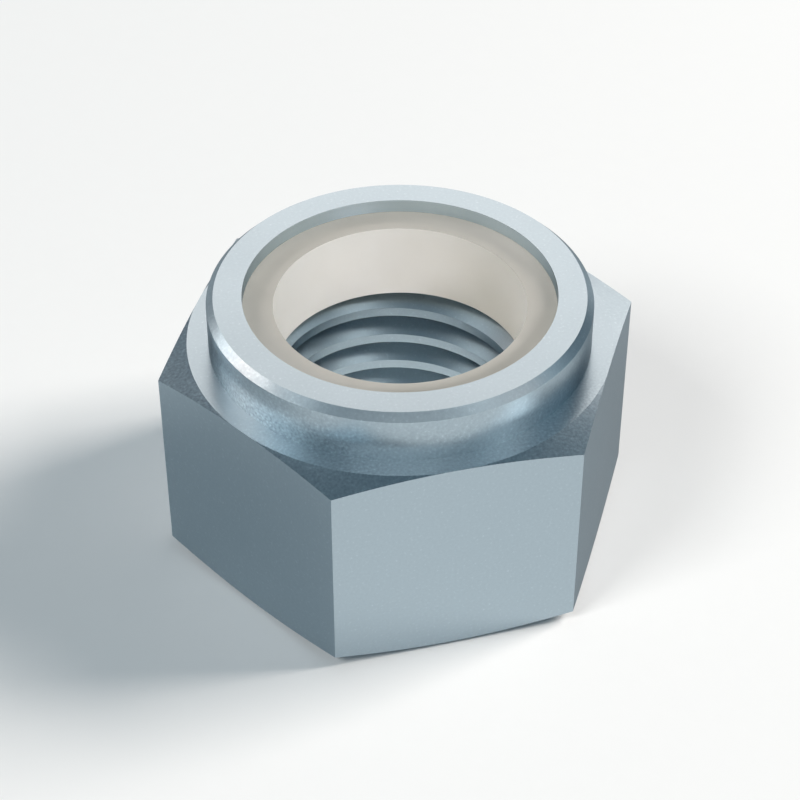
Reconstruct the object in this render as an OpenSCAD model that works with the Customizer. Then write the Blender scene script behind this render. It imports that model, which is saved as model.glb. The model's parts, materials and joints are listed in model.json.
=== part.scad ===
// Prevailing torque lock nut: a steel hexagon nut with a round collar on top, and a nylon
// locking ring held in the collar by a rim that is rolled in over it.
// The nut stands on its bearing face at z = 0, with its thread along +Z.
// Two opposite corners of the hexagon lie on the X axis. All sizes are in millimetres.

/* [Hexagon] */
// Distance between opposite flats
across_flats = 24; // [22:0.5:28]
// Height of the hexagon, from the bearing face to the shoulder
hex_h = 13; // [10:0.5:20]
// Slope of the chamfers that round off the corners, in degrees
corner_slope = 15; // [10:1:30]
// How far inside the flats the bearing face ends
bearing_inset = 0.75; // [0.25:0.05:1.5]
// How far outside the flats the shoulder's round edge lies
shoulder_over = 0.02; // [0.01:0.01:0.4]

/* [Collar] */
// Width of the shoulder, from the flats in to the collar
shoulder_w = 1.2; // [0.5:0.1:2]
// Height of the collar above the shoulder
collar_h = 3; // [2:0.1:6]
// Radial thickness of the collar round the locking ring
collar_wall = 1.2; // [0.8:0.1:2]
// Chamfer round the top of the collar
collar_chamfer = 0.4; // [0.1:0.05:0.7]
// Thickness of the rim that is rolled in over the locking ring
rim_t = 0.8; // [0.4:0.05:1.2]
// How far the rim reaches in over the locking ring
rim_reach = 0.8; // [0.3:0.05:1.2]

/* [Thread] */
// Nominal diameter of the thread
thread_d = 16; // [12:0.5:17]
// Distance between two turns of the thread
pitch = 2; // [1:0.25:2.5]
// How far the countersink in the bearing face is wider than the thread, each side
entry_over = 0.5; // [0.1:0.05:1]
// Slope of the countersinks at both ends of the thread, in degrees
countersink_slope = 30; // [20:1:45]

/* [Locking ring] */
// Height of the locking ring
ring_h = 4.7; // [3:0.1:7]
// How far the ring's bore lies inside the thread's nominal diameter, each side
ring_bite = 0.9; // [0.5:0.05:1.2]
// Clearance round the locking ring in its pocket
ring_clearance = 0.02; // [0:0.01:0.1]

/* [Hidden] */

// Distance that a cut runs past the face that it opens
past = 1;
// Share of the pitch by which a metric nut's crest lies inside the nominal radius
crest_share = 5 / 16 * sqrt(3);
// Steps round a full turn, for the preview
$fn = 96;

flat_r = across_flats / 2;
corner_r = flat_r / cos(30);
bearing_r = flat_r - bearing_inset;
shoulder_r = flat_r + shoulder_over;
collar_r = flat_r - shoulder_w;
top_z = hex_h + collar_h;

thread_r = thread_d / 2;
crest_r = thread_r - crest_share * pitch;
entry_r = thread_r + entry_over;
entry_depth = (entry_r - crest_r) * tan(countersink_slope);
exit_depth = (thread_r - crest_r) * tan(countersink_slope);

pocket_r = collar_r - collar_wall;
pocket_top = top_z - rim_t;
pocket_floor = pocket_top - ring_h;
rim_r = pocket_r - rim_reach;
ring_r = pocket_r - ring_clearance;
ring_bore_r = thread_r - ring_bite;

// Round blank that gives the hexagon its conical chamfers, top and bottom
module turned_blank() {
    reach = corner_r + past;
    rotate_extrude()
        polygon([
            [0, 0],
            [bearing_r, 0],
            [reach, (reach - bearing_r) * tan(corner_slope)],
            [reach, hex_h - (reach - shoulder_r) * tan(corner_slope)],
            [shoulder_r, hex_h],
            [0, hex_h]
        ]);
}

module hexagon() {
    intersection() {
        cylinder(r = corner_r, h = hex_h, $fn = 6);
        turned_blank();
    }
}

// Half section of the collar, from the middle of the hexagon up
module collar_section() {
    polygon([
        [0, hex_h / 2],
        [collar_r, hex_h / 2],
        [collar_r, top_z - collar_chamfer],
        [collar_r - collar_chamfer, top_z],
        [0, top_z]
    ]);
}

module collar() {
    rotate_extrude()
        collar_section();
}

// Bore at the crest of the thread, with a countersink at both ends, opening into the ring's pocket
module bore_section() {
    polygon([
        [0, -past],
        [entry_r + past / tan(countersink_slope), -past],
        [crest_r, entry_depth],
        [crest_r, pocket_floor - exit_depth],
        [thread_r, pocket_floor],
        [pocket_r, pocket_floor],
        [pocket_r, pocket_top],
        [rim_r, pocket_top],
        [rim_r, top_z + past],
        [0, top_z + past]
    ]);
}

module nut_body() {
    color([0.66, 0.71, 0.75])
        difference() {
            union() {
                hexagon();
                collar();
            }
            rotate_extrude()
                bore_section();
        }
}

module locking_ring() {
    color([0.80, 0.77, 0.71])
        translate([0, 0, pocket_floor])
            difference() {
                cylinder(r = ring_r, h = ring_h);
                translate([0, 0, -past])
                    cylinder(r = ring_bore_r, h = ring_h + 2 * past);
            }
}

nut_body();
locking_ring();
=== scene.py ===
import json
import math

import bpy
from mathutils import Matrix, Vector


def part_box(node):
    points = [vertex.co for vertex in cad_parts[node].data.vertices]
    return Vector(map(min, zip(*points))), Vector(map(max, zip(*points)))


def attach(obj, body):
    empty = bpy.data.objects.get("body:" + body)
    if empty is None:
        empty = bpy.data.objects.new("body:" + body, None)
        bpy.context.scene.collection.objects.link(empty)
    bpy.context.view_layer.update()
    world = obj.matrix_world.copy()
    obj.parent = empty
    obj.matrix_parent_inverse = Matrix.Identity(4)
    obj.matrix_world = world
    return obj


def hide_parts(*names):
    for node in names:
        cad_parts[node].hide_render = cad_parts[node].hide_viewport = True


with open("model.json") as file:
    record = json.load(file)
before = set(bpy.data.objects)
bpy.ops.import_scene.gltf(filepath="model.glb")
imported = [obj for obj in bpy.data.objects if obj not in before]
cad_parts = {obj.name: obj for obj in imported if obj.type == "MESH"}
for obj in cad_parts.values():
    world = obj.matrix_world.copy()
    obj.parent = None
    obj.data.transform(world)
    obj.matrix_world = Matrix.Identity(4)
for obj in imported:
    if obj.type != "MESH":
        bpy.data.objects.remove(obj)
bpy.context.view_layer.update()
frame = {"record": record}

# Sizes below are in millimetres, and MM turns them into Blender's metres
MM = 0.001

# Sizes that the CAD pieces already hold
corner_r, flat_r, top_z = [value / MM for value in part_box("nut_body")[1]]
ring_low, ring_high = [[value / MM for value in corner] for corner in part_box("locking_ring")]
ring_r = ring_high[0]
pocket_floor = ring_low[2]
ring_top = ring_high[2]
mounts = {mount["name"]: mount for mount in frame["record"]["mounts"]}
crest_r = mounts["thread"]["dims"]["r_mm"]
ring_bore_r = mounts["ring_bore"]["dims"]["r_mm"]

# Hexagon, with its bearing face below and the shoulder's round edge above
hex_h = 13
corner_slope = math.radians(15)
bearing_inset = 0.75
shoulder_over = 0.02
bearing_r = flat_r - bearing_inset
shoulder_r = flat_r + shoulder_over

# Collar, with the ring's pocket and the rim that is rolled in over it
shoulder_w = 1.2
collar_chamfer = 0.4
collar_wall = 1.2
rim_t = 0.8
rim_reach = 0.8
collar_r = flat_r - shoulder_w
pocket_r = collar_r - collar_wall
pocket_top = top_z - rim_t
rim_r = pocket_r - rim_reach

# Thread, with a flat crest and a narrow flat root
thread_r = 8
pitch = 2
flank_slope = math.radians(30)
crest_w = 0.58
# Height at which the middle of a crest crosses the X axis
crest_z_on_x = 0.768
# Space between the bore's wall and the core of the body that cuts the thread
core_gap = 0.3

# Countersinks at both ends of the thread
countersink_slope = math.radians(30)
entry_over = 0.5
entry_r = thread_r + entry_over

# How finely the pieces are made
round_steps = 192
thread_steps = 96
merge_gap = 0.001
sharp_angle = math.radians(10)
# Distance that a cutting body or a cutting slope runs past what it cuts
past = 1
# Margins between the edges of a face and the edges of the mask that marks it
level_margin = 0.01
cone_margin = 0.03
wall_margin = 0.05

# Camera, found from the photograph's perspective: angles in degrees, lens and sensor in millimetres
view_azimuth = 255
view_elevation = 40
view_distance = 127.2
view_target = Vector((0, 0, 8.095))
lens = 98.9
sensor_w = 36

# Distances at which the lamps stand
NEAR = 300
MIDWAY = 500
FAR = 800

# Colours of the finishes
ZINC = (0.4, 0.485, 0.54, 1)
# Painted light: a brighter zinc on the rim's inner wall stands in for light falling on it
ZINC_PAINTED_LIGHT = (0.66, 0.78, 0.85, 1)
BRIGHT_SPECK = (0.7, 0.78, 0.84, 1)
ZINC_EDGE = (0.36, 0.39, 0.41, 1)
NYLON_BORE = (0.8, 0.76, 0.68, 1)
# Painted shade: the ring's top is a darker copy of the bore's nylon, standing in for less light on it
NYLON_TOP_PAINTED_SHADE = (0.5, 0.46, 0.385, 1)
PAPER_WHITE = (0.86, 0.86, 0.86, 1)

# Tints of the lamps, and the dim blue of the room round them
AMBER = (1, 0.73, 0.61)
WARM = (1, 0.87, 0.79)
SOFT_WHITE = (1, 0.93, 0.87)
DAYLIGHT = (1, 1, 0.97)
ICE = (0.91, 0.91, 1)
COOL = (0.76, 0.94, 1)
ROOM_BLUE = (0.11, 0.17, 0.21, 1)


def deselect_all():
    bpy.ops.object.select_all(action="DESELECT")


def pick(piece):
    """Select the piece alone, and make it the active object."""
    deselect_all()
    piece.select_set(True)
    bpy.context.view_layer.objects.active = piece


def finish_place(piece):
    """Put the piece's object at the origin, unturned and unscaled."""
    pick(piece)
    bpy.ops.object.transform_apply(location=True, rotation=True, scale=True)


def apply_modifier(piece, modifier):
    pick(piece)
    bpy.ops.object.modifier_apply(modifier=modifier.name)


def merge_doubles():
    """Merge points that lie on each other, in the piece that is in edit mode."""
    bpy.ops.mesh.select_all(action="SELECT")
    bpy.ops.mesh.remove_doubles(threshold=merge_gap * MM)


def lathe(name, outline):
    """Turn a closed outline of (radius, height) corners round the Z axis."""
    first_radius, first_height = outline[0]
    half_step = math.pi / round_steps
    deselect_all()
    bpy.ops.mesh.primitive_circle_add(
        vertices=round_steps,
        radius=first_radius * MM,
        location=(0, 0, first_height * MM),
        rotation=(0, 0, half_step),
    )
    piece = bpy.context.object
    piece.name = name
    finish_place(piece)
    bpy.ops.object.mode_set(mode="EDIT")
    bpy.ops.mesh.select_all(action="SELECT")
    for (radius, height), (next_radius, next_height) in zip(outline, outline[1:] + outline[:1]):
        rise = (0, 0, (next_height - height) * MM)
        grow = next_radius / radius
        bpy.ops.mesh.extrude_edges_move(TRANSFORM_OT_translate={"value": rise})
        bpy.ops.transform.resize(value=(grow, grow, 1), center_override=(0, 0, next_height * MM))
    merge_doubles()
    bpy.ops.mesh.normals_make_consistent(inside=False)
    bpy.ops.object.mode_set(mode="OBJECT")
    return piece


def cut(piece, tool, operation):
    """Combine the piece with a cutting body, and remove that body."""
    modifier = piece.modifiers.new("Cut", "BOOLEAN")
    modifier.operation = operation
    modifier.solver = "EXACT"
    modifier.object = tool
    apply_modifier(piece, modifier)
    bpy.data.objects.remove(tool)


def nut_outline():
    """Half section of the turned blank, from the bearing face round by the collar to the bore."""
    reach = corner_r + past
    entry_depth = (entry_r - crest_r) * math.tan(countersink_slope)
    exit_depth = (thread_r - crest_r) * math.tan(countersink_slope)
    return [
        (entry_r, 0),
        (bearing_r, 0),
        (reach, (reach - bearing_r) * math.tan(corner_slope)),
        (reach, hex_h - (reach - shoulder_r) * math.tan(corner_slope)),
        (shoulder_r, hex_h),
        (collar_r, hex_h),
        (collar_r, top_z - collar_chamfer),
        (collar_r - collar_chamfer, top_z),
        (rim_r, top_z),
        (rim_r, pocket_top),
        (pocket_r, pocket_top),
        (pocket_r, pocket_floor),
        (thread_r, pocket_floor),
        (crest_r, pocket_floor - exit_depth),
        (crest_r, entry_depth),
    ]


def hexagon_tool():
    """Six-sided prism with two corners on the X axis, taller than the nut."""
    onto_x_axis = math.radians(30)
    deselect_all()
    bpy.ops.mesh.primitive_cylinder_add(
        vertices=6,
        radius=corner_r * MM,
        depth=(top_z + 2 * past) * MM,
        location=(0, 0, top_z / 2 * MM),
        rotation=(0, 0, onto_x_axis),
    )
    tool = bpy.context.object
    finish_place(tool)
    return tool


def tooth_outline():
    """One pitch of the cutting thread as (radius, height) corners, from mid core to mid core."""
    core_r = crest_r - core_gap
    root_w = pitch - crest_w - 2 * (thread_r - crest_r) * math.tan(flank_slope)
    flank_h = (thread_r - core_r) * math.tan(flank_slope)
    core_w = pitch - root_w - 2 * flank_h
    return [
        (core_r, 0),
        (core_r, core_w / 2),
        (thread_r, core_w / 2 + flank_h),
        (thread_r, core_w / 2 + flank_h + root_w),
        (core_r, pitch - core_w / 2),
        (core_r, pitch),
    ]


def draw_tooth(start_z):
    """Draw one pitch of the cutting thread in the plane of X and Z, as a chain of edges."""
    outline = tooth_outline()
    first_radius = outline[0][0]
    deselect_all()
    bpy.ops.mesh.primitive_plane_add(size=1 * MM)
    tooth = bpy.context.object
    bpy.ops.object.mode_set(mode="EDIT")
    bpy.ops.mesh.select_mode(type="VERT")
    bpy.ops.mesh.select_all(action="SELECT")
    bpy.ops.mesh.merge(type="CENTER")
    bpy.ops.transform.translate(value=(first_radius * MM, 0, start_z * MM))
    for (radius, height), (next_radius, next_height) in zip(outline, outline[1:]):
        step = ((next_radius - radius) * MM, 0, (next_height - height) * MM)
        bpy.ops.mesh.extrude_vertices_move(TRANSFORM_OT_translate={"value": step})
    bpy.ops.object.mode_set(mode="OBJECT")
    return tooth


def thread_tool():
    """Male thread that is cut out of the bore, from below the nut up into the ring's pocket."""
    turns = 7
    start_z = crest_z_on_x - 2 * pitch
    middle_z = start_z + turns * pitch / 2
    low_tip_z = start_z - pitch
    high_tip_z = start_z + (turns + 2) * pitch
    tool = draw_tooth(start_z)
    screw = tool.modifiers.new("Turns", "SCREW")
    screw.steps = thread_steps
    screw.render_steps = thread_steps
    screw.iterations = turns
    screw.screw_offset = pitch * MM
    apply_modifier(tool, screw)
    bpy.ops.object.mode_set(mode="EDIT")
    merge_doubles()
    close_thread_end(tool, low_tip_z, middle_z)
    close_thread_end(tool, high_tip_z, middle_z)
    bpy.ops.mesh.normals_make_consistent(inside=False)
    bpy.ops.object.mode_set(mode="OBJECT")
    return tool


def close_thread_end(tool, tip_z, middle_z):
    """Close one open end of the cutting thread with a fan of faces to a point on the axis."""
    bpy.ops.mesh.select_mode(type="EDGE")
    bpy.ops.mesh.select_all(action="DESELECT")
    bpy.ops.mesh.select_non_manifold()
    bpy.ops.object.mode_set(mode="OBJECT")
    mesh = tool.data
    on_this_end = [(vertex.co.z / MM < middle_z) == (tip_z < middle_z) for vertex in mesh.vertices]
    for edge in mesh.edges:
        edge.select = edge.select and all(on_this_end[index] for index in edge.vertices)
    bpy.ops.object.mode_set(mode="EDIT")
    bpy.ops.mesh.extrude_edges_move()
    bpy.ops.transform.resize(value=(0, 0, 0), center_override=(0, 0, tip_z * MM))
    merge_doubles()


def clean_mesh(piece):
    """Merge the doubled points and drop the sliver faces that the cuts leave."""
    pick(piece)
    bpy.ops.object.mode_set(mode="EDIT")
    merge_doubles()
    bpy.ops.mesh.dissolve_degenerate(threshold=merge_gap * MM)
    bpy.ops.mesh.select_all(action="SELECT")
    bpy.ops.mesh.normals_make_consistent(inside=False)
    bpy.ops.object.mode_set(mode="OBJECT")


def smooth_with_sharp_edges(piece):
    """Smooth the round faces, and keep each edge steeper than the sharp angle crisp."""
    pick(piece)
    bpy.ops.object.shade_smooth_by_angle(angle=sharp_angle)
    weigh = piece.modifiers.new("Weigh normals", "WEIGHTED_NORMAL")
    weigh.keep_sharp = True
    apply_modifier(piece, weigh)


def make_steel_nut():
    nut = lathe("steel_nut", nut_outline())
    cut(nut, hexagon_tool(), "INTERSECT")
    cut(nut, thread_tool(), "DIFFERENCE")
    clean_mesh(nut)
    smooth_with_sharp_edges(nut)
    return nut


def make_nylon_ring():
    ring = lathe("nylon_ring", [
        (ring_bore_r, pocket_floor),
        (ring_r, pocket_floor),
        (ring_r, ring_top),
        (ring_bore_r, ring_top),
    ])
    smooth_with_sharp_edges(ring)
    return ring


def new_material(name):
    """A material, its node tree, its shader, and the point of the piece that is being shaded."""
    material = bpy.data.materials.new(name)
    material.use_nodes = True
    tree = material.node_tree
    point = tree.nodes.new("ShaderNodeTexCoord").outputs["Object"]
    return material, tree, tree.nodes["Principled BSDF"], point


def feed(tree, socket, value):
    """Link another node's output to a socket, or set a plain value on it."""
    if isinstance(value, bpy.types.NodeSocket):
        tree.links.new(value, socket)
    else:
        socket.default_value = value


def maths(tree, operation, first, second):
    node = tree.nodes.new("ShaderNodeMath")
    node.operation = operation
    feed(tree, node.inputs[0], first)
    feed(tree, node.inputs[1], second)
    return node.outputs["Value"]


def multiply(tree, *factors):
    product = factors[0]
    for factor in factors[1:]:
        product = maths(tree, "MULTIPLY", product, factor)
    return product


def above(tree, length, level):
    """1 where a length is over a level in millimetres, and 0 elsewhere."""
    return maths(tree, "GREATER_THAN", length, level * MM)


def below(tree, length, level):
    """1 where a length is under a level in millimetres, and 0 elsewhere."""
    return maths(tree, "LESS_THAN", length, level * MM)


def along(tree, point, axis):
    """How far the point lies along the X, Y or Z axis."""
    split = tree.nodes.new("ShaderNodeSeparateXYZ")
    tree.links.new(point, split.inputs["Vector"])
    return split.outputs[axis]


def from_axis(tree, point):
    """How far the point lies from the thread's axis."""
    flatten = tree.nodes.new("ShaderNodeVectorMath")
    flatten.operation = "MULTIPLY"
    flatten.inputs[1].default_value = (1, 1, 0)
    tree.links.new(point, flatten.inputs[0])
    radius = tree.nodes.new("ShaderNodeVectorMath")
    radius.operation = "LENGTH"
    tree.links.new(flatten.outputs["Vector"], radius.inputs[0])
    return radius.outputs["Value"]


def ramp(tree, value, span, levels):
    """Lead a value from the first level to the second over its span, and hold it outside."""
    node = tree.nodes.new("ShaderNodeMapRange")
    node.inputs["From Min"].default_value = span[0]
    node.inputs["From Max"].default_value = span[1]
    node.inputs["To Min"].default_value = levels[0]
    node.inputs["To Max"].default_value = levels[1]
    tree.links.new(value, node.inputs["Value"])
    return node.outputs["Result"]


def fade(tree, length, span, levels):
    """A ramp over a length, with its span in millimetres."""
    return ramp(tree, length, [end * MM for end in span], levels)


def noise(tree, point, per_mm, detail):
    """Even noise fixed to the piece, with so many features in a millimetre."""
    node = tree.nodes.new("ShaderNodeTexNoise")
    node.inputs["Scale"].default_value = per_mm / MM
    node.inputs["Detail"].default_value = detail
    tree.links.new(point, node.inputs["Vector"])
    return node.outputs["Fac"]


def mix(tree, blend, factor, first, second):
    """Blend two colours. Each input is another node's output or a plain value."""
    node = tree.nodes.new("ShaderNodeMix")
    node.data_type = "RGBA"
    node.blend_type = blend
    feed(tree, node.inputs["Factor"], factor)
    feed(tree, node.inputs["A"], first)
    feed(tree, node.inputs["B"], second)
    return node.outputs["Result"]


def add_bump(tree, shader, relief, strength, depth):
    bump = tree.nodes.new("ShaderNodeBump")
    bump.inputs["Distance"].default_value = depth * MM
    tree.links.new(relief, bump.inputs["Height"])
    feed(tree, bump.inputs["Strength"], strength)
    tree.links.new(bump.outputs["Normal"], shader.inputs["Normal"])


def collar_grain(tree, point):
    """Grain of the collar's wall and chamfer. It fades upwards, and is weaker on the right."""
    height = along(tree, point, "Z")
    on_collar = above(tree, from_axis(tree, point), collar_r - collar_chamfer - wall_margin)
    over_shoulder = above(tree, height, hex_h + level_margin)
    under_top = below(tree, height, top_z - level_margin)
    upwards = fade(tree, height, span=(hex_h + 0.8, top_z - collar_chamfer), levels=(1, 0.3))
    to_the_right = fade(tree, along(tree, point, "X"), span=(-9, -2), levels=(1.1, 0.5))
    return multiply(tree, on_collar, over_shoulder, under_top, upwards, to_the_right)


def shoulder_grain(tree, point):
    """Grain of the level shoulder, which shows on the side that faces the camera."""
    height = along(tree, point, "Z")
    outside = above(tree, from_axis(tree, point), collar_r - collar_chamfer - wall_margin)
    over_cones = above(tree, height, hex_h - level_margin)
    under_collar = below(tree, height, hex_h + level_margin)
    to_the_back = fade(tree, along(tree, point, "Y"), span=(-8, -5), levels=(0.6, 0))
    return multiply(tree, outside, over_cones, under_collar, to_the_back)


def cone_grain(tree, point):
    """Grain of the cones on the upper corners: strong at the far left, weak at the far right."""
    radius = from_axis(tree, point)
    side = along(tree, point, "X")
    drop = maths(tree, "MULTIPLY", radius, math.tan(corner_slope))
    level = maths(tree, "ADD", along(tree, point, "Z"), drop)
    over_flats = above(tree, level, hex_h + shoulder_r * math.tan(corner_slope) - cone_margin)
    past_shoulder = above(tree, radius, shoulder_r)
    off_the_left = fade(tree, side, span=(-12, -8), levels=(1.1, 0.7))
    to_the_right = fade(tree, side, span=(8, 12), levels=(1, 0.1))
    return multiply(tree, over_flats, past_shoulder, off_the_left, to_the_right)


def coarse_grain(tree, point):
    """How strong the plating's grain is: 0 on the flats, on top and in the bore."""
    on_cones = cone_grain(tree, point)
    on_hexagon = maths(tree, "ADD", shoulder_grain(tree, point), on_cones)
    return maths(tree, "ADD", collar_grain(tree, point), on_hexagon)


def on_rim_wall(tree, point):
    """1 on the inner wall of the rolled rim, and 0 on all other faces."""
    height = along(tree, point, "Z")
    inside = below(tree, from_axis(tree, point), rim_r + wall_margin)
    over_ring = above(tree, height, pocket_top + level_margin)
    under_top = below(tree, height, top_z - level_margin)
    return multiply(tree, inside, over_ring, under_top)


def plated_steel():
    """Zinc plate with bright specks, coarse grain in places, and painted light that makes the rim's
    inner wall brighter.
    """
    material, tree, shader, point = new_material("plated_steel")
    shader.inputs["Specular Tint"].default_value = ZINC_EDGE
    shader.inputs["Metallic"].default_value = 1

    grain = noise(tree, point, per_mm=6, detail=1)
    patches = noise(tree, point, per_mm=0.2, detail=2)
    uneven = ramp(tree, patches, span=(0.35, 0.65), levels=(0.6, 1))
    coarse = multiply(tree, coarse_grain(tree, point), uneven)
    contrast = ramp(tree, coarse, span=(0, 1), levels=(0.06, 0.55))

    # Painted light: the rim's inner wall gets a brighter zinc, standing in for light that no lamp gives
    # it
    plate_with_painted_light = mix(tree, "MIX", on_rim_wall(tree, point), ZINC, ZINC_PAINTED_LIGHT)
    flecked = mix(tree, "OVERLAY", contrast, plate_with_painted_light, grain)
    specks = ramp(tree, grain, span=(0.64, 0.8), levels=(0, 0.24))
    speckled = mix(tree, "MIX", specks, flecked, BRIGHT_SPECK)
    dullness = ramp(tree, patches, span=(0.3, 0.7), levels=(0.29, 0.31))
    tree.links.new(speckled, shader.inputs["Base Color"])
    tree.links.new(dullness, shader.inputs["Roughness"])
    add_bump(tree, shader, grain, strength=contrast, depth=0.02)
    return material


def nylon():
    """Milky nylon, with painted shade that makes the ring's top darker than its bore."""
    material, tree, shader, point = new_material("nylon")
    on_top = above(tree, along(tree, point, "Z"), ring_top - level_margin)
    # Painted shade: the ring's top gets a darker nylon than its bore
    nylon_with_painted_shade = mix(tree, "MIX", on_top, NYLON_BORE, NYLON_TOP_PAINTED_SHADE)
    haze = noise(tree, point, per_mm=0.5, detail=3)
    fine = noise(tree, point, per_mm=4, detail=2)
    hazy = mix(tree, "OVERLAY", 0.08, nylon_with_painted_shade, haze)
    dullness = ramp(tree, haze, span=(0.3, 0.7), levels=(0.46, 0.54))
    tree.links.new(hazy, shader.inputs["Base Color"])
    tree.links.new(dullness, shader.inputs["Roughness"])
    add_bump(tree, shader, fine, strength=0.2, depth=0.004)
    return material


def pale_floor():
    material, tree, shader, point = new_material("pale_floor")
    fibres = noise(tree, point, per_mm=0.7, detail=3)
    paper = mix(tree, "OVERLAY", 0.04, PAPER_WHITE, fibres)
    tree.links.new(paper, shader.inputs["Base Color"])
    shader.inputs["Roughness"].default_value = 0.9
    return material


def direction(turn, elevation):
    """Unit vector from the nut. The turn starts at the camera's side, anticlockwise from above."""
    azimuth = math.radians(view_azimuth + turn)
    elevation = math.radians(elevation)
    return Vector((
        math.cos(elevation) * math.cos(azimuth),
        math.cos(elevation) * math.sin(azimuth),
        math.sin(elevation),
    ))


def add_camera():
    data = bpy.data.cameras.new("Camera")
    data.lens = lens
    data.sensor_width = sensor_w
    data.clip_start = 1 * MM
    data.clip_end = 10000 * MM
    camera = bpy.data.objects.new("Camera", data)
    bpy.context.scene.collection.objects.link(camera)
    away = direction(0, view_elevation)
    camera.location = (view_target + away * view_distance) * MM
    camera.rotation_euler = (-away).to_track_quat("-Z", "Y").to_euler()
    bpy.context.scene.camera = camera


def add_floor():
    floor_size = 4000
    deselect_all()
    bpy.ops.mesh.primitive_plane_add(size=floor_size * MM)
    floor = bpy.context.object
    floor.name = "floor"
    floor.data.materials.append(pale_floor())
    return floor


def add_softbox(name, distance, turn, elevation, size, tint, brightness):
    """A rectangular lamp that faces the nut. A mirror would show its tint times its brightness."""
    width, height = [side * MM for side in size]
    data = bpy.data.lights.new(name, "AREA")
    data.shape = "RECTANGLE"
    data.size = width
    data.size_y = height
    data.energy = brightness * math.pi * width * height
    data.color = tint
    lamp = bpy.data.objects.new(name, data)
    bpy.context.scene.collection.objects.link(lamp)
    away = direction(turn, elevation)
    lamp.location = (view_target + away * distance) * MM
    lamp.rotation_euler = away.to_track_quat("Z", "Y").to_euler()
    lamp.visible_camera = False
    return lamp


def add_bore_lamp(tint, power):
    """A thin beam from above that lights the floor inside the bore, for the thread to mirror."""
    height = 400
    data = bpy.data.lights.new("bore_lamp", "SPOT")
    data.energy = power
    data.color = tint
    data.shadow_soft_size = 1 * MM
    data.spot_size = 2 * math.atan(crest_r / height)
    data.spot_blend = 0.2
    lamp = bpy.data.objects.new("bore_lamp", data)
    bpy.context.scene.collection.objects.link(lamp)
    lamp.location = (0, 0, height * MM)
    lamp.visible_camera = False
    lamp.visible_glossy = False
    return lamp


def light_only(piece, name, lamps):
    """Keep the light of some lamps on one piece. All pieces still cast shadows in it."""
    lit = bpy.data.collections.new(name)
    lit.objects.link(piece)
    for lamp in lamps:
        lamp.light_linking.receiver_collection = lit


def set_world(colour):
    world = bpy.data.worlds.new("Studio")
    world.use_nodes = True
    world.node_tree.nodes["Background"].inputs["Color"].default_value = colour
    bpy.context.scene.world = world


add_camera()
steel_nut = make_steel_nut()
steel_nut.data.materials.append(plated_steel())
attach(steel_nut, "root")
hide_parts("nut_body")

nylon_ring = make_nylon_ring()
nylon_ring.data.materials.append(nylon())
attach(nylon_ring, "root")
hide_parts("locking_ring")

floor = add_floor()
set_world(ROOM_BLUE)

# Each lamp: name, distance, turn and elevation in degrees, width and height, tint, brightness
light_only(steel_nut, "lit_nut", [
    add_softbox("back_window", MIDWAY, 172, 29.5, (440, 290), WARM, 2),
    add_softbox("left_low", MIDWAY, -106, 12, (180, 150), COOL, 1.1),
    add_softbox("left_back", MIDWAY, -121, 28, (150, 150), WARM, 9),
    add_softbox("left_middle", MIDWAY, -105, 33, (110, 120), AMBER, 9.6),
    add_softbox("left_front", MIDWAY, -91, 38, (120, 150), WARM, 4.1),
    add_softbox("left_high", MIDWAY, -76, 52, (160, 130), DAYLIGHT, 5.9),
    add_softbox("front_strip", MIDWAY, 0, 35, (560, 100), SOFT_WHITE, 3.1),
    add_softbox("front_low", MIDWAY, -30, 12, (260, 160), COOL, 1.7),
    add_softbox("right_low", MIDWAY, 66, 20, (180, 110), WARM, 11),
    add_softbox("right_middle", MIDWAY, 45, 20, (150, 200), WARM, 0.58),
    add_softbox("right_high", MIDWAY, 62, 58, (150, 150), DAYLIGHT, 5.6),
    add_softbox("right_sky", MIDWAY, 105, 38, (260, 220), COOL, 0.59),
])
light_only(nylon_ring, "lit_ring", [
    add_softbox("ring_front", NEAR, 35, 30, (150, 60), ICE, 18),
    add_softbox("ring_front_left", NEAR, -25, 28, (150, 60), SOFT_WHITE, 6.3),
    add_softbox("ring_left", NEAR, -80, 28, (150, 60), SOFT_WHITE, 4.9),
    add_softbox("ring_right", NEAR, 90, 28, (150, 60), DAYLIGHT, 6),
    add_softbox("ring_back_left", NEAR, -130, 30, (150, 60), ICE, 10),
    add_softbox("ring_back_right", NEAR, 150, 30, (150, 60), SOFT_WHITE, 7),
    add_softbox("ring_top", NEAR, 0, 88, (200, 200), ICE, 1.5),
])
light_only(floor, "lit_floor", [
    add_softbox("right_key", FAR, 107, 35, (360, 360), SOFT_WHITE, 20),
    add_softbox("left_key", FAR, -50, 45, (300, 300), DAYLIGHT, 9.1),
    add_bore_lamp(DAYLIGHT, 6),
])
bpy.context.scene.view_settings.view_transform = "Standard"
